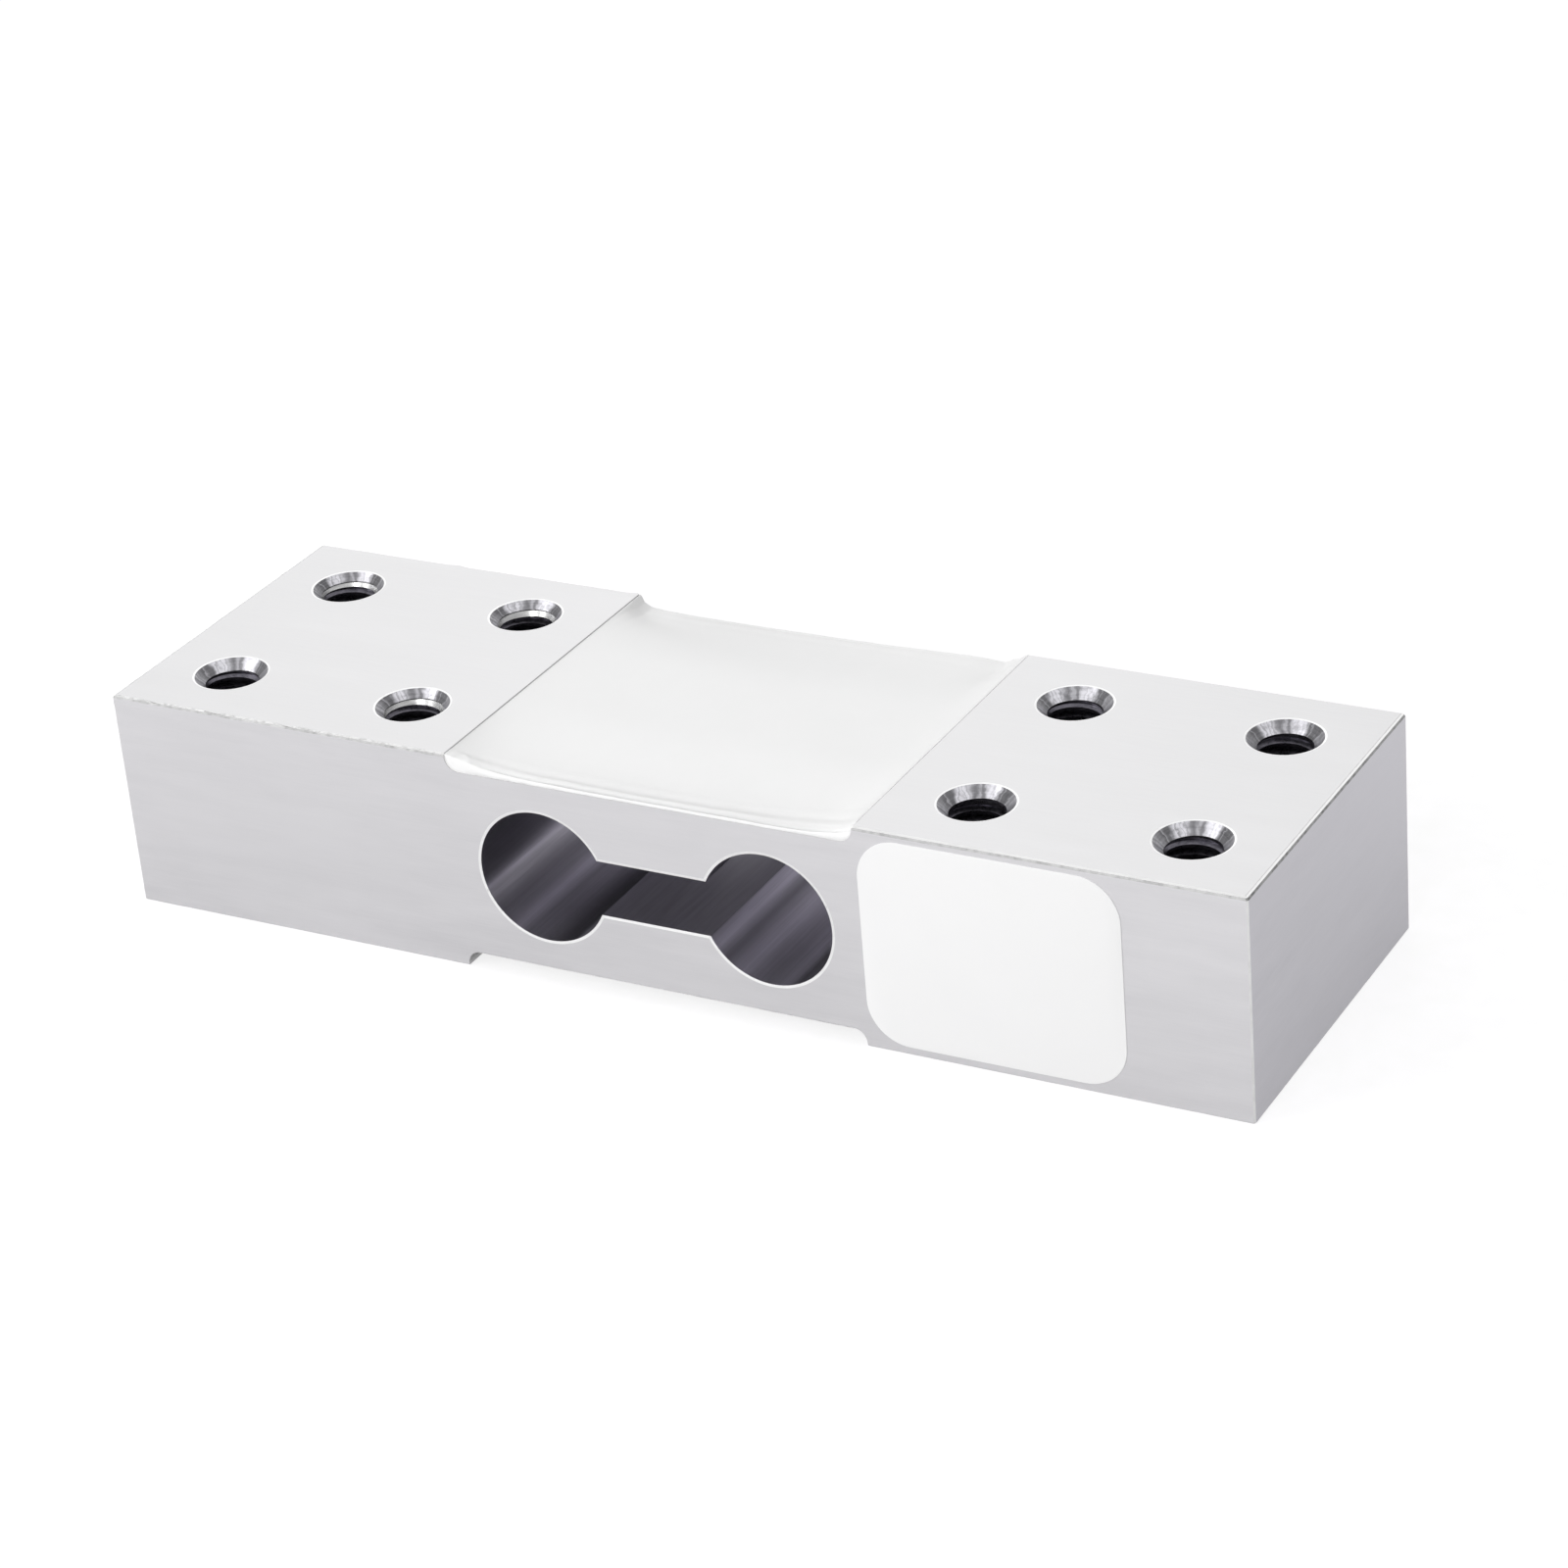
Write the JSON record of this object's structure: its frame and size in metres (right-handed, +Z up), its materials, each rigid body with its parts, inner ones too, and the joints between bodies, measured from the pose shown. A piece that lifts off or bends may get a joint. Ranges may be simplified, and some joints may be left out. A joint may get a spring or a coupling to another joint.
{
  "type": "weighing load cell",
  "caption": "Single-point weighing load cell: aluminium beam with a dog-bone cut, sealed strain gauge recesses, tapped bolt patterns and a blank label.",
  "frame": {"origin": "centre of the beam's underside", "axes": "+X along the beam from the fixed end to the loaded end, -Y is the labelled front face, +Z up"},
  "size_m": [0.15, 0.0471, 0.0285],
  "materials": {
    "aluminium": "milled, fine satin",
    "white_silicone": "glossy, laid by hand",
    "label_film": "matt",
    "gauge_film": "amber polyimide",
    "gauge_foil": "etched constantan foil",
    "tinned_copper": "tinned",
    "circuit_board": "glass epoxy",
    "copper": "bare copper",
    "solder": "bright",
    "resistor_ceramic": "glazed",
    "red_insulation": "smooth",
    "black_insulation": "smooth",
    "green_insulation": "smooth",
    "white_insulation": "smooth"
  },
  "bodies": {
    "root": {"beam_body": "aluminium", "top_sealant": "white_silicone", "bottom_sealant": "white_silicone", "blank_label": "label_film", "top_left_gauge_film": "gauge_film", "top_left_gauge_foil": "gauge_foil", "top_left_gauge_leads": "tinned_copper", "top_right_gauge_film": "gauge_film", "top_right_gauge_foil": "gauge_foil", "top_right_gauge_leads": "tinned_copper", "top_terminal_board": "circuit_board", "top_terminal_pads": "copper", "top_solder_joints": "solder", "bottom_left_gauge_film": "gauge_film", "bottom_left_gauge_foil": "gauge_foil", "bottom_left_gauge_leads": "tinned_copper", "bottom_right_gauge_film": "gauge_film", "bottom_right_gauge_foil": "gauge_foil", "bottom_right_gauge_leads": "tinned_copper", "bottom_terminal_board": "circuit_board", "bottom_terminal_pads": "copper", "bottom_solder_joints": "solder", "zero_balance_resistor": "resistor_ceramic", "zero_temperature_resistor": "resistor_ceramic", "span_trim_resistor": "resistor_ceramic", "span_temperature_resistor": "resistor_ceramic", "supply_plus_wire": "red_insulation", "supply_minus_wire": "black_insulation", "signal_plus_wire": "green_insulation", "signal_minus_wire": "white_insulation"}
  },
  "joints": []
}
